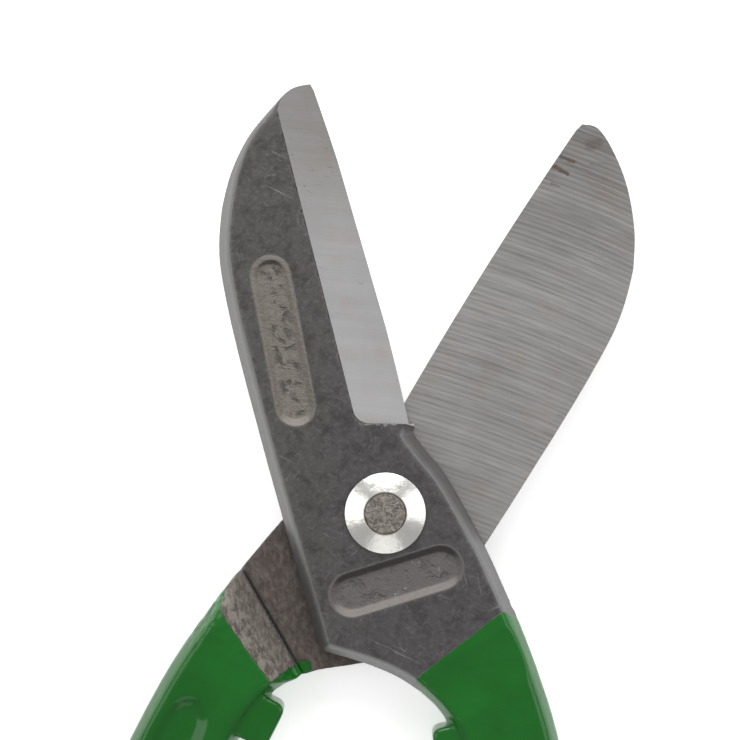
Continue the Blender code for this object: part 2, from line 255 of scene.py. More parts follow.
fades = {  # how far behind the pivot each of a half's own shifts grows in
    "shank": (-16.0, 4.0), "handle": (12.0, 54.0), "bow": (29.0, 32.0), "lug": (44.0, 56.0),
    "diagonal": 0.7,  # share of the bow's shift in x and in y
}


def ramp(value, start, end):  # 0 before start, 1 past end
    return min(1.0, max(0.0, (value - start) / (end - start)))


def outsideShift(form, y):  # how far one half's shank and handle stand out
    return form["shankGrow"] + (form["handleGrow"] - form["shankGrow"]) * ramp(-y, *fades["handle"])


def moveInside(points, form):
    made = []
    for x, y in points:
        follow = ramp(-y, *fades["lug"])  # the bow's shift dies out along the lug, the handle's grows in
        step = fades["diagonal"] * form["bowGrow"] * (1 - follow) * ramp(-y, *fades["bow"])
        made.append((x - step + form["handleGrow"] * follow, y - step))
    return made


def moveOutside(points, form):
    return [(x + outsideShift(form, y) * ramp(-y, *fades["shank"]), y) for x, y in points]


def handleOutline(form):  # along the inside to the end and back up the outside
    inside = smoothCurve(moveInside(forging["bow"] + forging["inside"], form), 3)
    end = smoothCurve([inside[-1]] + moveOutside(forging["outside"][:1], form), 4)[1:-1]
    outside = smoothCurve(moveOutside(forging["outside"] + forging["shank"][1:], form), 3)
    return inside, end + outside


def blankOutline(form):
    spine = [(x - form["spineGrow"], y) for x, y in forging["spine"][:-2]] + forging["spine"][-2:]
    inside, outside = handleOutline(form)
    tip = [(x - 0.5 * s, y + 0.85 * s) for (x, y), s in zip(form["tip"], forging["tipFlash"])]
    return smoothCurve(tip + spine, 6) + forging["heelCorner"] + inside + outside + forging["flash"]


def shoulderCut(plate):  # slopes the handle's inner side up to the shoulder
    (x0, y0), (x1, y1) = forging["shoulder"]
    along = Vector((x1 - x0, y1 - y0, 0)).normalized()
    down = Vector((along.y, -along.x, 0)) * forging["shoulderSlope"]
    makeActive(plate)
    bpy.ops.object.mode_set(mode="EDIT")
    bpy.ops.mesh.select_all(action="SELECT")
    bpy.ops.mesh.bisect(plane_co=Vector((x0, y0, 0)) * mm, plane_no=(-down.x, -down.y, -1),
                        use_fill=True, clear_outer=True)
    bpy.ops.object.mode_set(mode="OBJECT")


def swellHandle(blank):  # thicker towards its end, with a rounded nose
    makeActive(blank)
    bpy.ops.object.mode_set(mode="EDIT")
    for past, share, reach in forging["swell"]:
        selectWhere(blank, "verts", lambda v: v.co.y < past * mm)
        bpy.ops.transform.resize(value=(1, 1, share), center_override=(0, 0, 0),
                                 use_proportional_edit=True, proportional_size=reach * mm)
    bpy.ops.object.mode_set(mode="OBJECT")


def taperJaw(plate):  # the outer face falls towards the tip
    makeActive(plate)
    bpy.ops.object.mode_set(mode="EDIT")
    hinge = forging["taperFrom"] * mm
    bpy.ops.mesh.select_all(action="SELECT")
    bpy.ops.mesh.bisect(plane_co=(0, hinge, 0), plane_no=(0, 1, 0))
    selectWhere(plate, "verts", lambda v: v.co.y > hinge and v.co.z > mm)
    bpy.ops.transform.rotate(value=math.radians(forging["taperDeg"]), orient_axis="X",
                             center_override=(0, hinge, forging["face"] * mm))
    bpy.ops.object.mode_set(mode="OBJECT")


def makeLug(form):
    x0, y0 = form["lugCorner"]
    root, length = forging["lugRoot"], forging["lugLength"]
    middle = Vector(((x0 + root) / 2, y0 - length / 2, 0))
    deselectAll()
    bpy.ops.mesh.primitive_cube_add(size=mm, location=middle * mm,
                                    scale=(root - x0, length, forging["lugHeight"]))
    lug = bpy.context.object
    lug.name = "lug"
    bpy.ops.object.transform_apply(location=True, scale=True)
    bpy.ops.object.mode_set(mode="EDIT")
    selectWhere(lug, "edges", lambda e: all(v.co.x < 5 * mm for v in e.verts) and
                abs(e.verts[0].co.z - e.verts[1].co.z) > mm)
    bpy.ops.mesh.bevel(offset=forging["lugRound"] * mm, segments=4)
    selectWhere(lug, "faces", lambda f: abs(f.normal.z) > 0.9)
    bpy.ops.mesh.bevel(offset=0.5 * mm, segments=2)
    bpy.ops.object.mode_set(mode="OBJECT")
    return lug


def slotOutline(panel, radius):
    a, b = Vector(panel["from"]), Vector(panel["to"])
    heading = math.atan2(b.y - a.y, b.x - a.x)
    ring = []
    for centre, first in ((b, heading - math.pi / 2), (a, heading + math.pi / 2)):
        for k in range(13):
            turn = first + math.pi * k / 12
            ring.append((centre.x + radius * math.cos(turn), centre.y + radius * math.sin(turn)))
    return ring


def makePanel(name, panel):
    lean = forging["panelDraft"] / forging["panelDepth"]
    mouth = slotOutline(panel, panel["radius"] + lean + forging["panelRim"])
    depth = forging["panelDepth"] + 1.0 - 0.2
    return tracePlate(name, mouth, forging["face"] + 1.0, -0.2, [(lean * depth, depth)])


def makeChannel(name, form, side):
    outline = [(x + form["handleGrow"], y) for x, y in smoothCurve(channels[name], 3)]
    rim = channels["floor"] + sum(drop for step, drop in channels["walls"])
    cutter = tracePlate(name, outline, 12.0, rim - 12.0, channels["walls"])
    makeActive(cutter)
    bpy.ops.object.mode_set(mode="EDIT")
    bpy.ops.mesh.select_all(action="SELECT")
    bpy.ops.transform.rotate(value=math.radians(-channels["swellDeg"]), orient_axis="X",
                             center_override=(0, channels["hinge"] * mm, channels["floor"] * mm))
    if side < 0:
        bpy.ops.transform.resize(value=(1, 1, -1), center_override=(0, 0, 0))
        bpy.ops.mesh.normals_make_consistent(inside=False)
    bpy.ops.object.mode_set(mode="OBJECT")
    return cutter


def makeValley():  # a shallow trough across the face where the handle starts
    a, b = (Vector((*p, 0)) for p in forging["valley"])
    middle = (a + b) / 2
    height = forging["face"] - forging["valleyDepth"] + forging["valleyRadius"]
    deselectAll()
    bpy.ops.mesh.primitive_cylinder_add(vertices=180, radius=forging["valleyRadius"] * mm, depth=80 * mm,
                                        rotation=(0, math.pi / 2, math.atan2(b.y - a.y, b.x - a.x)),
                                        location=(middle.x * mm, middle.y * mm, height * mm))
    valley = bpy.context.object
    valley.name = "valley"
    bpy.ops.object.transform_apply(location=True, rotation=True)
    return valley


def makeBlank(form):
    stock = forging["gap"] - forging["stock"]
    rise = forging["upright"]
    inward, onward = forging["draft"][0]
    draft = [(inward, onward - rise)] + forging["draft"][1:]
    blank = tracePlate("blank", blankOutline(form), stock, forging["stock"] + 0.1 + rise, draft)
    taperJaw(blank)
    inside, outside = handleOutline(form)
    insideFrom, outsideFrom = forging["underFrom"]
    lower = [p for p in inside if p[1] < insideFrom] + [p for p in outside if p[1] < outsideFrom]
    under = tracePlate("under", lower, forging["under"], -forging["under"] - rise, draft)
    applyModifier(under, "REMESH", mode="VOXEL", voxel_size=forging["grain"] * mm)
    shoulderCut(under)
    lug = makeLug(form)
    makeActive(blank)
    for part in (under, lug):
        part.select_set(True)
    bpy.ops.object.join()
    applyModifier(blank, "REMESH", mode="VOXEL", voxel_size=forging["grain"] * mm)
    swellHandle(blank)
    return blank


def sinkTang(half):  # the inner face behind the pivot is left as forged, a little deeper
    (x0, y0), (x1, y1) = forging["shoulder"]
    along = (Vector((x1, y1)) - Vector((x0, y0))).normalized()
    a, b = Vector((x0, y0)) - 30 * along, Vector((x1, y1)) + 20 * along
    outline = [tuple(a), tuple(b), (b.x, grinding["tangFrom"]), (-30.0, grinding["tangFrom"])]
    depth = forging["gap"] + grinding["tangDepth"]
    cutAway(half, tracePlate("tang", outline, -3.0, 3.0 + depth - 0.4, [(0.35, 0.4)]))
    middle = (a + b) / 2  # a crease where the handle starts
    bpy.ops.mesh.primitive_cylinder_add(vertices=12, radius=grinding["crease"] * mm, depth=90 * mm,
                                        rotation=(0, math.pi / 2, math.atan2(along.y, along.x)),
                                        location=(middle.x * mm, middle.y * mm, (depth - 0.1) * mm))
    crease = bpy.context.object
    crease.name = "crease"
    bpy.ops.object.transform_apply(location=True, rotation=True)
    cutAway(half, crease)


def sinkForms(blank, form):  # the hollows of the dies
    cutAway(blank, makeValley())
    for name, panel in panels.items():
        cutAway(blank, makePanel(name, panel))
    cutAway(blank, makeChannel("outer", form, 1))
    cutAway(blank, makeChannel("inner", form, -1))
    sinkTang(blank)
    applyModifier(blank, "REMESH", mode="VOXEL", voxel_size=forging["grain"] * mm)


def softenBlank(blank):  # every edge rounded, most on the handle
    applyModifier(blank, "SMOOTH", factor=0.5, iterations=4)
    handle = blank.vertex_groups.new(name="handle")
    behind = blank.vertex_groups.new(name="behind")
    for vert in blank.data.vertices:
        x, y, z = vert.co / mm
        back = ramp(-y, 16.0, 22.0) * ramp(-z, -1.2, 0.0)  # the tang and the slope of its shoulder
        handle.add([vert.index], max(ramp(-y, 36.0, 46.0), back * ramp(-z, 0.5, 2.5)), "REPLACE")
        behind.add([vert.index], back * (1 - ramp(-y, 40.0, 46.0)), "REPLACE")
    applyModifier(blank, "SMOOTH", factor=0.5, iterations=22, vertex_group="handle")
    for name, group in (("lumps", ""), ("scale", "behind")):
        size, detail, depth = forging[name]
        clouds = bpy.data.textures.new(name, "CLOUDS")
        clouds.noise_scale = size * mm
        clouds.noise_depth = detail
        applyModifier(blank, "DISPLACE", texture=clouds, strength=depth * mm, texture_coords="LOCAL",
                      vertex_group=group)
    applyModifier(blank, "DECIMATE", ratio=min(1.0, forging["triangles"] / (2 * len(blank.data.polygons))))


def drillBore(half):
    deselectAll()
    bpy.ops.mesh.primitive_cylinder_add(vertices=64, radius=forging["boreRadius"] * mm, depth=30 * mm)
    cutAway(half, bpy.context.object)


def cuttingEdge(edge, count):
    heel, tip = grinding["edge"]
    made = []
    for k in range(count + 1):
        u = k / count
        x = edge["heelX"] * (1 - u) + edge["tipX"] * u + 4 * edge["bow"] * u * (1 - u)
        made.append((x, heel + u * (tip - heel)))
    return made


def trimEdge(half, form):  # shears the flash off along the cutting edge
    line = cuttingEdge(form["edge"], 24)
    tip = smoothCurve(form["tip"], 5)
    outside = (form["tip"][-1][0] - 2.6, form["tip"][-1][1] - 3.5)
    outline = [(25.0, 17.0), (25.0, 98.0), (-30.0, 98.0), outside] + tip[::-1] + line[::-1]
    cutAway(half, tracePlate("trim", outline, -3.0, 20.0, []))


def bevelFrame():  # origin, direction along the strip, direction across it, and its normal
    heel, tip, foot = (Vector(p) for p in grinding["bevel"])
    along = (tip - heel).normalized()
    normal = (foot - heel).cross(along).normalized()
    return heel, along, along.cross(normal), normal


def grindBevel(half):
    heel, along, across, normal = bevelFrame()
    length = grinding["edgeTop"] - heel.y
    width = 30
    deselectAll()
    bpy.ops.mesh.primitive_cube_add(size=mm, location=(width / 2 * mm, length / 2 * mm, 10 * mm),
                                    scale=(width, length, 20))
    wheel = bpy.context.object
    wheel.name = "wheel"
    bpy.ops.object.transform_apply(location=True, scale=True)
    bpy.ops.object.mode_set(mode="EDIT")
    selectWhere(wheel, "verts", lambda v: v.co.y < mm)
    bpy.ops.transform.translate(value=(0, -grinding["heelBack"] * mm, 0))
    selectWhere(wheel, "verts", lambda v: v.co.y < mm and v.co.x > mm)
    bpy.ops.transform.translate(value=(0, -width * math.tan(math.radians(grinding["heelDeg"])) * mm, 0))
    selectWhere(wheel, "edges", lambda e: all(v.co.y < mm and v.co.x < mm for v in e.verts))
    bpy.ops.mesh.bevel(offset=grinding["heelRadius"] * mm, segments=6)
    bpy.ops.object.mode_set(mode="OBJECT")
    wheel.rotation_euler = Matrix((across, along, normal)).transposed().to_euler()
    wheel.location = heel * mm
    bpy.ops.object.transform_apply(location=True, rotation=True)
    cutAway(half, wheel)


def grindFace(half):  # flattens the inner face, and leaves the tang below it
    deselectAll()
    bpy.ops.mesh.primitive_cube_add(size=mm, location=(0, 40 * mm, (forging["gap"] - 2.0) * mm),
                                    scale=(90, 120, 4))
    table = bpy.context.object
    table.name = "table"
    bpy.ops.object.transform_apply(location=True, scale=True)
    cutAway(half, table)


def isGround(face):  # flat and square to the pivot, on the shear plane
    return abs(face.center.z / mm - forging["gap"]) < 0.01


def isBevel(face):
    heel, along, across, normal = bevelFrame()
    return face.normal.dot(normal) > 0.9995 and abs((face.center / mm - heel).dot(normal)) < 0.02


def markGroundFaces(half):
    for slot, test in ((1, isGround), (2, isBevel)):
        for face in half.data.polygons:
            if test(face):
                face.material_index = slot
    makeActive(half)
    bpy.ops.object.shade_smooth()
    bpy.ops.object.mode_set(mode="EDIT")
    selectWhere(half, "edges", lambda e: len(e.link_faces) == 2 and
                e.link_faces[0].material_index != e.link_faces[1].material_index)
    bpy.ops.mesh.mark_sharp()
    selectWhere(half, "faces", lambda f: f.material_index > 0)
    bpy.ops.mesh.faces_shade_flat()
    bpy.ops.object.mode_set(mode="OBJECT")


def placeHalf(half, form):
    makeActive(half)
    half.rotation_euler = (0, math.pi if form["turnedOver"] else 0, math.radians(form["openDeg"]))
    half.location = (0, 0, shearZ)
    bpy.ops.object.transform_apply(location=True, rotation=True, scale=True)


def dropSlivers(half):  # only the forging itself is kept of what the cuts left
    makeActive(half)
    bpy.ops.object.mode_set(mode="EDIT")
    middle = Vector((-14 * mm, 10 * mm, 6 * mm))
    nearest = min(half.data.vertices, key=lambda v: (v.co - middle).length).index
    selectWhere(half, "verts", lambda v: v.index == nearest)
    bpy.ops.mesh.select_linked()
    bpy.ops.mesh.select_all(action="INVERT")
    bpy.ops.mesh.delete(type="VERT")
    bpy.ops.object.mode_set(mode="OBJECT")


def makeForging(name, form, materials):
    half = makeBlank(form)
    sinkForms(half, form)
    softenBlank(half)
    half.name = name
    half.data.name = name
    drillBore(half)
    trimEdge(half, form)
    grindBevel(half)
    grindFace(half)
    dropSlivers(half)
    half.data.materials.clear()
    for material in materials:
        half.data.materials.append(material)
    markGroundFaces(half)
    placeHalf(half, form)
    print(name, "forged and ground:", len(half.data.polygons), "faces")
    return half


washer = {"radius": 8.5, "height": 2.0, "hole": 4.3, "mouth": 4.38, "seat": 6.3, "steps": 160}
rivet = {"shank": 4.0, "head": 4.34, "end": 8.4, "steps": 96, "dents": 26, "seed": 26, "dentDepth": 0.12}


def spinProfile(name, profile, steps):  # a profile of (radius, z) turned about the pivot axis
    deselectAll()
    bpy.ops.mesh.primitive_plane_add(size=mm, location=Vector((profile[0][0], 0, profile[0][1])) * mm)
    piece = bpy.context.object
    piece.name = name
    bpy.ops.object.transform_apply(location=True)
    bpy.ops.object.mode_set(mode="EDIT")
    bpy.ops.mesh.select_mode(type="VERT")
    bpy.ops.mesh.select_all(action="SELECT")
    bpy.ops.mesh.merge(type="CENTER")
    for before, point in zip(profile, profile[1:]):
        step = ((point[0] - before[0]) * mm, 0, (point[1] - before[1]) * mm)
        bpy.ops.mesh.extrude_region_move(TRANSFORM_OT_translate={"value": step})
    bpy.ops.mesh.select_all(action="SELECT")
    bpy.ops.mesh.spin(steps=steps, angle=2 * math.pi, center=(0, 0, 0), axis=(0, 0, 1))
    bpy.ops.mesh.select_all(action="SELECT")
    bpy.ops.mesh.remove_doubles(threshold=0.00001)
    bpy.ops.mesh.normals_make_consistent(inside=False)
    bpy.ops.object.mode_set(mode="OBJECT")
    bpy.ops.object.shade_smooth_by_angle(angle=math.radians(22))
    return piece


def makeWasher(name, side, material):
    r, mouth, hole, seat = (washer[key] for key in ("radius", "mouth", "hole", "seat"))
    top = seat + washer["height"]
    profile = [(hole, seat), (r - 0.15, seat), (r, seat + 0.12), (r, seat + 0.42), (r - 0.06, seat + 0.52),
               (r - 0.2, seat + 0.58), (mouth + 0.38, top - 0.05), (mouth + 0.22, top),
               (mouth + 0.08, top - 0.03), (mouth, top - 0.12), (mouth, top - 0.75), (hole, top - 1.7),
               (hole, seat)]
    piece = spinProfile(name, [(x, z * side) for x, z in profile], washer["steps"])
    piece.location.z = shearZ
    makeActive(piece)
    bpy.ops.object.transform_apply(location=True)
    piece.data.materials.append(material)
    return piece


def makeRivet(material):
    end, head, shank = rivet["end"], rivet["head"], rivet["shank"]
    brim = head - 0.22
    upper = [(shank, 0.0), (shank, end - 1.8), (head, end - 0.8), (head - 0.02, end - 0.55),
             (head - 0.06, end - 0.3), (brim, end - 0.14)]
    for k in range(1, 16):  # slightly domed
        upper.append((brim - brim * k / 16, end - 0.1 + 0.1 * math.sin(math.pi * k / 32)))
    upper.append((0.0001, end))
    lower = [(x, -z) for x, z in reversed(upper[1:])]
    piece = spinProfile("pivotRivet", lower + upper, rivet["steps"])
    makeActive(piece)
    piece.location.z = shearZ
    bpy.ops.object.transform_apply(location=True)
    chance = random.Random(rivet["seed"])
    bpy.ops.object.mode_set(mode="EDIT")
    for side in (1, -1):  # hammer marks, each pushed into one end
        for k in range(rivet["dents"]):
            reach, turn = 3.7 * math.sqrt(chance.random()), 2 * math.pi * chance.random()
            spot = Vector((reach * math.cos(turn), reach * math.sin(turn), 0)) * mm
            spot.z = shearZ + side * end * mm
            selectWhere(piece, "verts", lambda v: (v.co - spot).length < 0.33 * mm)
            push = -side * rivet["dentDepth"] * mm * (0.4 + 0.6 * chance.random())
            bpy.ops.transform.translate(value=(0, 0, push), use_proportional_edit=True,
                                        proportional_edit_falloff="SPHERE", proportional_size=0.9 * mm)
    bpy.ops.object.mode_set(mode="OBJECT")
    bpy.ops.object.shade_smooth_by_angle(angle=math.radians(40))
    piece.data.materials.append(material)
    return piece


class Value:  # a node's output that can be added, multiplied and so on
    def __init__(self, board, socket):
        self.board = board
        self.socket = socket

    def maths(self, operation, first, second):
        return self.board.node("ShaderNodeMath", {"operation": operation}, {0: first, 1: second})

    def __add__(self, other):
        return self.maths("ADD", self, other)

    def __radd__(self, other):
        return self.maths("ADD", other, self)

    def __sub__(self, other):
        return self.maths("SUBTRACT", self, other)

    def __rsub__(self, other):
        return self.maths("SUBTRACT", other, self)

    def __mul__(self, other):
        return self.maths("MULTIPLY", self, other)

    def __rmul__(self, other):
        return self.maths("MULTIPLY", other, self)


class Board:  # one material's nodes
    def __init__(self, name):
        self.material = bpy.data.materials.new(name)
        self.material.use_nodes = True
        self.tree = self.material.node_tree
        self.shader = self.tree.nodes["Principled BSDF"]
        place = self.node("ShaderNodeTexCoord", {}, {}, "Object")
        self.place = self.scaled(place, 1 / mm)

    def node(self, kind, settings, inputs, output=0):
        made = self.tree.nodes.new(kind)
        for key, value in settings.items():
            setattr(made, key, value)
        for key, value in inputs.items():
            self.feed(made.inputs[key], value)
        return Value(self, made.outputs[output])

    def feed(self, socket, value):
        if isinstance(value, Value):
            self.tree.links.new(value.socket, socket)
        else:
            socket.default_value = value

    def surface(self, **looks):  # baseColor feeds Base Color, and so on
        for name, value in looks.items():
            spaced = "".join(" " + c if c.isupper() else c for c in name).title()
            self.feed(self.shader.inputs[spaced], value)
        return self.material

    def vector(self, operation, first, second, output=0):
        return self.node("ShaderNodeVectorMath", {"operation": operation}, {0: first, 1: second}, output)

    def scaled(self, vector, share):
        return self.node("ShaderNodeVectorMath", {"operation": "SCALE"}, {0: vector, "Scale": share})

    def clamp(self, value):
        return self.node("ShaderNodeClamp", {}, {"Value": value})

    def larger(self, first, second):
        return self.node("ShaderNodeMath", {"operation": "MAXIMUM"}, {0: first, 1: second})

    def noise(self, scale, detail=4.0, roughness=0.55, vector=None, distortion=0.0):
        return self.node("ShaderNodeTexNoise", {}, {
            "Vector": vector or self.place, "Scale": scale, "Detail": detail, "Roughness": roughness,
            "Distortion": distortion})

    def step(self, value, low, high):  # smooth, 0 at low and 1 at high
        return self.node("ShaderNodeMapRange", {"interpolation_type": "SMOOTHSTEP"},
                         {"Value": value, "From Min": low, "From Max": high})

    def mix(self, share, first, second, blend="MIX"):
        first, second = (c if isinstance(c, Value) else (*c, 1.0) for c in (first, second))
        return self.node("ShaderNodeMix", {"data_type": "RGBA", "blend_type": blend},
                         {0: share, 6: first, 7: second}, 2)

    def stretch(self, turnDeg, scale):  # the place turned about Z, then squeezed
        turned = self.node("ShaderNodeMapping", {},
                           {"Vector": self.place, "Rotation": (0, 0, math.radians(turnDeg))})
        return self.vector("MULTIPLY", turned, scale)

    def along(self, direction, origin):  # how far the place is from origin along direction, in mm
        return self.vector("DOT_PRODUCT", self.vector("SUBTRACT", self.place, origin), direction, "Value")

    def bump(self, height, distance):
        return self.node("ShaderNodeBump", {}, {"Height": height, "Distance": distance * mm})


def halfToWorld(form, point):  # a point of the closed drawing, in world millimetres
    x, y, z = point
    if form["turnedOver"]:
        x, z = -x, -z
    turn = math.radians(form["openDeg"])
    across, up = x * math.cos(turn) - y * math.sin(turn), x * math.sin(turn) + y * math.cos(turn)
    return (across, up, z + shearZ / mm)


def halfAxes(board, form):  # the closed drawing's own x, y and z, in millimetres
    origin = Vector(halfToWorld(form, (0, 0, 0)))
    return [board.along(tuple(Vector(halfToWorld(form, unit)) - origin), tuple(origin))
            for unit in ((1, 0, 0), (0, 1, 0), (0, 0, 1))]


def planeThrough(board, form, points, inside):  # how far past the plane, towards inside
    p0, p1, p2 = (Vector(halfToWorld(form, p)) for p in points)
    normal = (p1 - p0).cross(p2 - p0).normalized()
    if normal.dot(Vector(halfToWorld(form, inside)) - p0) < 0:
        normal = -normal
    return board.along(tuple(normal), tuple(p0))


def segmentDistance(board, form, start, end):
    a, b = (Vector(halfToWorld(form, p)) for p in (start, end))
    line = b - a
    share = board.clamp(board.along(tuple(line / line.length_squared), tuple(a)))
    foot = board.vector("ADD", board.scaled(tuple(line), share), tuple(a))
    return board.vector("DISTANCE", board.place, foot, "Value")


paint = {
    "colour": (0.0028, 0.108, 0.006),
    "worn": (0.0045, 0.132, 0.010),
    "roughness": 0.2,
    "coat": 0.25,
    "line": [(1.3, -34.7, 6.0), (21.4, -24.1, 6.0), (12.0, -38.5, -5.0)],  # in the plane that it stops at
    "wander": 0.25,
    "run": [(0.3, -37.5, 0.2), (3.4, -42.6, -4.6), 1.7],  # paint that ran along the rear half's bow
}
steel = {
    "brown": (0.135, 0.128, 0.122),
    "violet": (0.128, 0.119, 0.123),
    "scale": (0.046, 0.043, 0.043),
    # pale steel for the face's mottling, and on the sloped rims partly a painted highlight
    "side": (0.25, 0.248, 0.246),
    # bright steel for scratches, also used as a painted glint in the panels
    "scratchAndGlint": (0.36, 0.36, 0.37),
    "floor": (0.160, 0.138, 0.120),
    "floorLight": (0.27, 0.25, 0.225),
    # a dark for the panels' blotches, also used as painted shade on panel walls facing -Y
    "floorDarkAndShade": (0.030, 0.028, 0.026),
    # painted light for panel walls facing +Y
    "lip": (0.38, 0.35, 0.32),
    "tang": (0.105, 0.082, 0.070),
    "tangLight": (0.20, 0.17, 0.15),
    "slope": (0.122, 0.102, 0.087),
    "slopeLight": (0.27, 0.237, 0.208),
    # bright patches on the shoulder slope, partly wear and partly a painted highlight
    "slopeWearAndHighlight": (0.42, 0.38, 0.34),
    "scratches": [(25.0, 0.16, 0.08), (-52.0, 0.22, 0.11), (78.0, 0.18, 0.09), (-15.0, 0.3, 0.13)],
}


def faceColour(board, x, y, mottle):
    cloud = board.noise(0.13, 5.0, 0.65)
    # brown near the spine, darker and more violet towards the cutting edge and the handle
    turnDark = board.step(x * 0.9 - y * 0.10 + (cloud - 0.5) * 26.0, -22.0, 2.0)
    base = board.mix(turnDark, steel["brown"], steel["violet"])
    base = board.mix(board.step(mottle, 0.44, 0.74) * 0.38, base, steel["side"])
    scaled = board.step(board.noise(0.33, 6.0, 0.72, None, 0.4), 0.44, 0.68) * 0.5
    return board.mix(scaled, base, steel["scale"])


def fineMarks(board, x, y):  # scratches and pin-prick pits
    lines = 0.0
    for turn, length, patch in steel["scratches"]:  # each direction's heading, fineness and patchiness
        line = board.noise(1.0, 2.0, 0.5, board.stretch(turn, (length, 3.4, 1.0)), 0.6)
        lines = lines + board.step(line, 0.66, 0.74) * board.step(board.noise(patch, 2.0), 0.52, 0.62)
    worked = board.step(y * -0.25 - x * 0.2 + (board.noise(0.2, 3.0) - 0.5) * 30.0, -10.0, 6.0)
    pricks = board.step(board.noise(0.95, 5.0, 0.75, None, 0.7), 0.64, 0.72)
    pricks = pricks * board.step(board.noise(0.24, 3.0), 0.5, 0.62)
    return board.clamp(lines * 0.7 + pricks * (0.45 + worked * 0.55))


def brightRimsTrimmedAndLit(board, form, y, mottle):  # sloped rims and walls lightened, partly bare steel where the flash was trimmed and partly a painted highlight
    normal = board.node("ShaderNodeNewGeometry", {}, {}, "Normal")
    lift = board.vector("DOT_PRODUCT", normal, (0, 0, 1), "Value")
    lift = board.node("ShaderNodeMath", {"operation": "ABSOLUTE"}, {0: lift})
    side = board.step(lift, 0.955, 0.82) * board.step(lift, 0.25, 0.55) * (0.6 + mottle * 0.5)
    clear = planeThrough(board, form, grinding["bevel"], (-12.0, 60.0, 4.0))  # keeps the bevel's line crisp
    return side * board.larger(board.step(clear, 0.3, 0.8), board.step(y, 17.5, 16.0))


def panelMasks(board, form, z):  # the whole panels, their middles, and how dark each one is
    whole = middle = shade = 0.0
    for panel in panels.values():
        reach = segmentDistance(board, form, (*panel["from"], 5.2), (*panel["to"], 5.2))
        share = board.step(reach, panel["radius"] + 1.6, panel["radius"] + 1.0)
        whole = whole + share
        middle = middle + board.step(reach, panel["radius"] + 0.2, panel["radius"] - 1.4)
        shade = shade + share * panel["shade"]
    face = board.step(z, 2.5, 3.5)
    return whole * face, middle * face, shade


def panelColour(board, middle, shade, grit, streak, blotch):  # rough, with a blurred relief
    # painted highlight: glint specks in the panels' middles
    glint = board.step(board.noise(0.9, 3.0, 0.6, None, 0.8), 0.66, 0.72) * middle
    grain = board.step(grit * 0.5 + streak * 0.5, 0.36, 0.66)
    rough = board.mix(grain, steel["floor"], steel["floorLight"])
    rough = board.mix(blotch * 0.6, rough, steel["floorDarkAndShade"])
    rough = board.mix(shade, rough, steel["violet"])
    rough = board.mix(glint * 0.8, rough, steel["scratchAndGlint"])
    # painted light and shade: panel walls facing +Y, on the handle's side, are painted bright, and those
    # facing -Y, on the jaw's side, painted dark
    wall = board.node("ShaderNodeTexCoord", {}, {}, "Normal")
    wall = board.vector("DOT_PRODUCT", wall, (0.0, 1.0, 0.0), "Value")
    rough = board.mix(board.step(wall, 0.22, 0.5) * (0.1 + grit * 0.8), rough, steel["lip"])
    return board.mix(board.step(wall, -0.22, -0.5) * 0.7, rough, steel["floorDarkAndShade"])


def tangColour(board, z, slope, tear):
    tang = board.mix(board.step(tear, 0.38, 0.68), steel["tang"], steel["tangLight"])
    side = board.mix(board.step(tear, 0.36, 0.66), steel["slope"], steel["slopeLight"])
    # bright patches on the slope away from the shear plane: partly wear, partly a painted highlight
    foot = board.step(z, -1.5, -4.8) * board.step(tear, 0.4, 0.6) * 0.55
    return board.mix(slope, tang, board.mix(foot, side, steel["slopeWearAndHighlight"]))


def paintMask(board, form, past):
    painted = board.step(past, 0.0, 0.12)
    if form["turnedOver"]:
        start, end, width = paint["run"]
        run = segmentDistance(board, form, start, end) + (board.noise(0.8, 2.0) - 0.5) * 1.6
        painted = board.larger(painted, board.step(run, width, width - 0.2))
    return painted


def forgedSteel(name, form):
    board = Board(name)
    x, y, z = halfAxes(board, form)
    mottle = board.noise(1.1, 6.0, 0.7)
    marks = fineMarks(board, x, y)
    base = board.mix(marks * 0.7, faceColour(board, x, y, mottle), steel["scratchAndGlint"])
    # sloped rims and walls lightened: partly bare trimmed steel, partly a painted highlight
    base = board.mix(brightRimsTrimmedAndLit(board, form, y, mottle), base, steel["side"])
    whole, middle, shade = panelMasks(board, form, z)
    grit = board.noise(2.6, 5.0, 0.75)
    streak = board.noise(1.0, 4.0, 0.7, board.stretch(form["openDeg"], (0.6, 3.0, 1.0)))
    blotch = board.step(board.noise(0.36, 3.0, 0.6, None, 0.5), 0.49, 0.66) * middle
    base = board.mix(whole, base, panelColour(board, middle, shade, grit, streak, blotch))
    back = board.step(z, 1.2, 0.62) * board.step(y, -8.0, -10.0)  # the tang and the slope of its shoulder
    tear = board.noise(0.75, 6.0, 0.75, board.stretch(form["openDeg"] + 20.0, (1.3, 0.7, 1.0)))
    base = board.mix(back * 0.92, base, tangColour(board, z, board.step(z, 0.2, -0.6) * back, tear))
    past = planeThrough(board, form, paint["line"], (15.0, -120.0, 0.0))
    past = past + (board.noise(0.6, 3.0) - 0.5) * paint["wander"]
    painted = paintMask(board, form, past)
    green = board.mix(board.step(board.noise(0.05, 3.0), 0.4, 0.65), paint["colour"], paint["worn"])
    bare = 1 - painted
    rubbed = board.clamp(whole + back)
    height = bare * (mottle * 0.25 + marks * 0.15 + whole * (grit * 0.7 + streak * 0.5 - blotch * 1.4)
                     + back * tear * 4.0)
    height = height + board.step(past, -0.05, 0.3) * 0.7 + board.noise(0.22, 2.0) * painted * 0.9
    board.shader.inputs["Coat Roughness"].default_value = 0.08
    board.shader.inputs["Specular IOR Level"].default_value = 0.35
    return board.surface(
        baseColor=board.mix(painted, base, green),
        metallic=bare * (0.8 - rubbed * 0.6),
        roughness=bare * (0.36 + mottle * 0.2 + rubbed * 0.12) + painted * paint["roughness"],
        coatWeight=painted * paint["coat"],
        normal=board.bump(height, 0.2),
    )


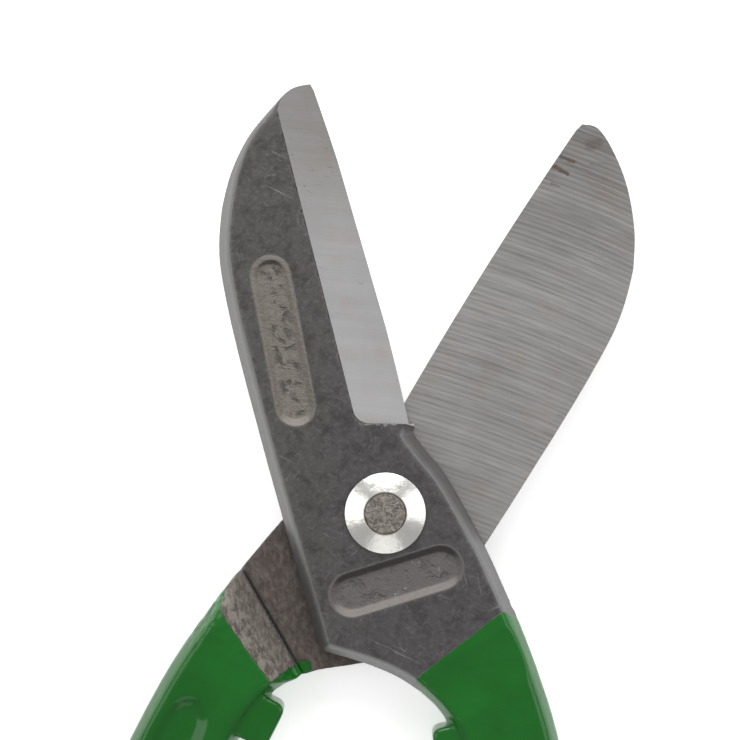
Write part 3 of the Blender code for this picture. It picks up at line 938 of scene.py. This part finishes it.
grindMarks = {"spacing": 1.08, "bow": 0.0022, "stain": (0.98, 0.88, 0.80), "nick": (0.09, 0.085, 0.08)}
innerFace = {"turnDeg": -16.0, "dark": (0.26, 0.25, 0.243), "light": (0.53, 0.517, 0.508), "contrast": 1.15,
             "rippled": 0.26, "fade": (45.0, 85.0, 0.42)}  # fade is from y, to y, share
bevelFace = {"turnDeg": -8.0, "dark": (0.26, 0.25, 0.24), "light": (0.42, 0.42, 0.43), "contrast": 0.4,
             "rippled": 0.0, "fade": (45.0, 92.0, 0.6)}
rust = {
    "colour": (0.12, 0.058, 0.03),
    "marks": [((1.2, 84.0, 0.15), (-1.9, 84.3, 0.15), 0.62, 0.55),  # from, to, half width, depth
              ((1.8, 81.5, 0.15), (-1.9, 81.5, 0.15), 0.55, 0.7),
              ((-3.4, 89.0, 0.15), (-4.6, 90.2, 0.15), 1.7, 0.3),
              ((0.2, 78.2, 0.15), (-1.6, 78.3, 0.15), 0.35, 0.4)],
}


def groundSteel(name, grind, rusted):  # grinding lines run at turnDeg from world X, bowed a little
    board = Board(name)
    turn = math.radians(grind["turnDeg"])
    along = board.along((math.cos(turn), math.sin(turn), 0), (0, 0, 0))
    across = board.along((-math.sin(turn), math.cos(turn), 0), (0, 0, 0))
    across = across + along * along * grindMarks["bow"]
    lay = board.node("ShaderNodeCombineXYZ", {}, {"X": along * 0.03, "Y": across, "Z": 0.0})
    ripple = board.node("ShaderNodeTexWave", {"wave_type": "BANDS", "bands_direction": "Y"}, {
        "Vector": lay, "Scale": 2 * math.pi / (20 * grindMarks["spacing"]), "Distortion": 3.5,
        "Detail": 3.0, "Detail Scale": 1.3, "Detail Roughness": 0.6}, "Fac")
    fine = board.noise(4.2, 3.0, 0.6, lay)
    broad = board.noise(0.45, 3.0, 0.6, lay)
    y = board.along((0, 1, 0), (0, 0, 0))
    fadeFrom, fadeTo, fadeShare = grind["fade"]
    tone = (ripple - 0.5) * grind["rippled"] + (fine - 0.5) * grind["contrast"]
    tone = tone + (broad - 0.5) * grind["contrast"] + (board.noise(0.07, 3.0) - 0.5) * 0.5
    tone = tone + 0.6 - board.step(y, fadeFrom, fadeTo) * fadeShare
    base = board.mix(board.clamp(tone), grind["dark"], grind["light"])
    stained = board.mix(1.0, base, grindMarks["stain"], "MULTIPLY")
    base = board.mix(board.step(board.noise(0.11, 4.0, 0.6), 0.5, 0.72) * 0.5, base, stained)
    nicks = board.noise(1.0, 2.0, 0.5, board.stretch(-grind["turnDeg"], (0.22, 2.4, 1.0)), 0.5)
    thick = board.step(board.noise(0.09, 1.0), 0.5, 0.6) * 0.5 + board.step(y, fadeFrom + 12.0, fadeTo)
    base = board.mix(board.step(nicks, 0.66, 0.72) * thick * 0.5, base, grindMarks["nick"])
    for start, end, width, depth in rust["marks"] if rusted else ():
        reach = segmentDistance(board, rearForging, start, end) + (board.noise(0.9, 4.0, 0.65) - 0.5) * 1.3
        base = board.mix(board.step(reach, width, width * 0.3) * depth, base, rust["colour"])
    return board.surface(
        baseColor=base,
        metallic=0.9,
        roughness=0.36 + fine * 0.14,
        normal=board.bump(ripple * grind["rippled"] + fine * 0.6 + broad * 0.4, 0.035),
    )


nickel = {"bright": (0.86, 0.84, 0.80), "pit": (0.42, 0.40, 0.36), "smoothest": 0.16}
rivetFinish = {"dark": (0.16, 0.14, 0.12), "light": (0.45, 0.41, 0.37)}


def nickelPlate():
    board = Board("nickelPlate")
    pits = board.step(board.noise(1.6, 3.0), 0.66, 0.74)
    return board.surface(
        baseColor=board.mix(pits * 0.35, nickel["bright"], nickel["pit"]),
        metallic=1.0,
        roughness=nickel["smoothest"] + board.noise(0.8, 4.0) * 0.14,
        normal=board.bump(board.noise(0.7, 2.0) + pits * -0.3, 0.05),
    )


def rivetSteel():
    board = Board("rivetSteel")
    grain = board.noise(0.9, 6.0, 0.72, None, 1.6)
    return board.surface(
        baseColor=board.mix(board.step(grain, 0.35, 0.65), rivetFinish["dark"], rivetFinish["light"]),
        metallic=0.7,
        roughness=0.4 + grain * 0.3,
        normal=board.bump(grain, 0.6),
    )


frontSteel = forgedSteel("frontForgedSteel", frontForging)
rearSteel = forgedSteel("rearForgedSteel", rearForging)
innerSteel = groundSteel("groundInnerFace", innerFace, True)
bevelSteel = groundSteel("groundBevel", bevelFace, False)
plate = nickelPlate()
rivetMaterial = rivetSteel()
print("materials mixed")

frontHalf = makeForging("frontForging", frontForging, [frontSteel, innerSteel, bevelSteel])
rearHalf = makeForging("rearForging", rearForging, [rearSteel, innerSteel, bevelSteel])
pivotRivet = makeRivet(rivetMaterial)
frontWasher = makeWasher("frontWasher", 1, plate)
rearWasher = makeWasher("rearWasher", -1, plate)
print("pivot turned and riveted")

for piece, body, node, slot in (
    (frontHalf, "front", "front_half", "forged_steel"),
    (rearHalf, "rear", "rear_half", "forged_steel"),
    (pivotRivet, "front", "pivot_rivet", "rivet_steel"),
    (frontWasher, "front", "front_bevel_washer", "nickel_plate"),
    (rearWasher, "front", "rear_bevel_washer", "nickel_plate"),
):
    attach(piece, body)
    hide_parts(node)

studio = {
    "floor": (0.93, 0.93, 0.93),
    "floorGlow": 0.5,         # a lit table, so hardly any shadow shows
    "world": 0.42,
    "cameraCentre": (-3.19, 29.96),
    "viewWidth": 157.25,
    "lens": 100.0,
    "sensor": 36.0,
    "panels": [               # name, place, size and power
        ("northPanel", (0.0, 1.05, 0.72), (1.2, 0.7), 11.0),
        ("eastPanel", (0.95, 0.15, 0.8), (0.8, 0.9), 2.8),
        ("westPanel", (-0.95, 0.1, 0.8), (0.8, 0.9), 2.9),
        ("southPanel", (0.0, -0.9, 0.75), (0.7, 0.5), 0.7),
    ],
}


def makeFloor():
    deselectAll()
    bpy.ops.mesh.primitive_plane_add(size=6.0, location=(0, 0, cadLow.z - 0.0002))
    floor = bpy.context.object
    floor.name = "floor"
    bpy.ops.object.transform_apply(location=True)
    board = Board("paleFloor")
    floor.data.materials.append(board.surface(
        baseColor=(*studio["floor"], 1),
        emissionColor=(1, 1, 1, 1),
        emissionStrength=studio["floorGlow"],
        roughness=0.9,
    ))


def addSoftLight(name, place, size, power):
    light = bpy.data.lights.new(name, "AREA")
    light.shape = "RECTANGLE"
    light.size, light.size_y = size
    light.energy = power
    obj = bpy.data.objects.new(name, light)
    bpy.context.scene.collection.objects.link(obj)
    obj.location = place
    obj.rotation_euler = (-Vector(place)).to_track_quat("-Z", "Y").to_euler()


def addCamera():
    data = bpy.data.cameras.new("camera")
    data.lens = studio["lens"]
    data.sensor_width = studio["sensor"]
    camera = bpy.data.objects.new("camera", data)
    bpy.context.scene.collection.objects.link(camera)
    x, y = studio["cameraCentre"]
    away = studio["viewWidth"] * studio["lens"] / studio["sensor"]
    camera.location = (x * mm, y * mm, shearZ + away * mm)
    bpy.context.scene.camera = camera


makeFloor()
for panel in studio["panels"]:
    addSoftLight(*panel)
world = bpy.data.worlds.new("studio")
bpy.context.scene.world = world
world.use_nodes = True
world.node_tree.nodes["Background"].inputs["Color"].default_value = (1, 1, 1, 1)
world.node_tree.nodes["Background"].inputs["Strength"].default_value = studio["world"]
bpy.context.scene.view_settings.view_transform = "Standard"
addCamera()
print("floor, lights and camera set")
